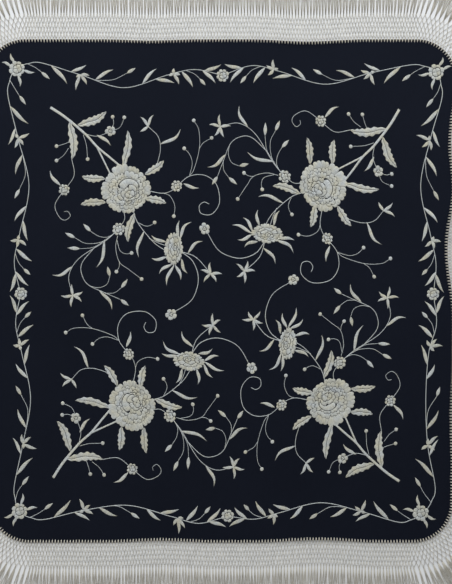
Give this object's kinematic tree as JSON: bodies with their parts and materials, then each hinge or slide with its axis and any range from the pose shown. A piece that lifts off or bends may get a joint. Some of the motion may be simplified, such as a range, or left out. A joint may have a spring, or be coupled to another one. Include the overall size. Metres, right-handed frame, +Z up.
{
  "type": "embroidered and fringed flamenco shawl, laid out flat",
  "caption": "large square silk shawl spread flat: dark crepe with rounded corners, raised ivory embroidery of roses and a vine border, knotted fringe all round",
  "frame": {"origin": "on the surface that the shawl lies on, under the middle of its bounding box", "axes": "+Z up out of the embroidered face, +Y towards the top of the picture, +X to the right"},
  "size_m": [2.1428, 2.238, 0.0054],
  "materials": {
    "dark_silk_crepe": "dark blue-black silk crepe, soft low sheen",
    "ivory_silk_thread": "ivory silk floss in satin stitch, glossy along the thread",
    "ivory_silk_fringe": "twisted ivory silk cord, knotted, soft sheen"
  },
  "bodies": {
    "root": {"cloth": "dark_silk_crepe", "fringe_right": "ivory_silk_fringe", "fringe_top": "ivory_silk_fringe", "fringe_left": "ivory_silk_fringe", "fringe_bottom": "ivory_silk_fringe", "spray_top_left": "ivory_silk_thread", "spray_top_right": "ivory_silk_thread", "spray_bottom_right": "ivory_silk_thread", "spray_bottom_left": "ivory_silk_thread", "border_top": "ivory_silk_thread", "border_right": "ivory_silk_thread", "border_bottom": "ivory_silk_thread", "border_left": "ivory_silk_thread"}
  },
  "joints": []
}
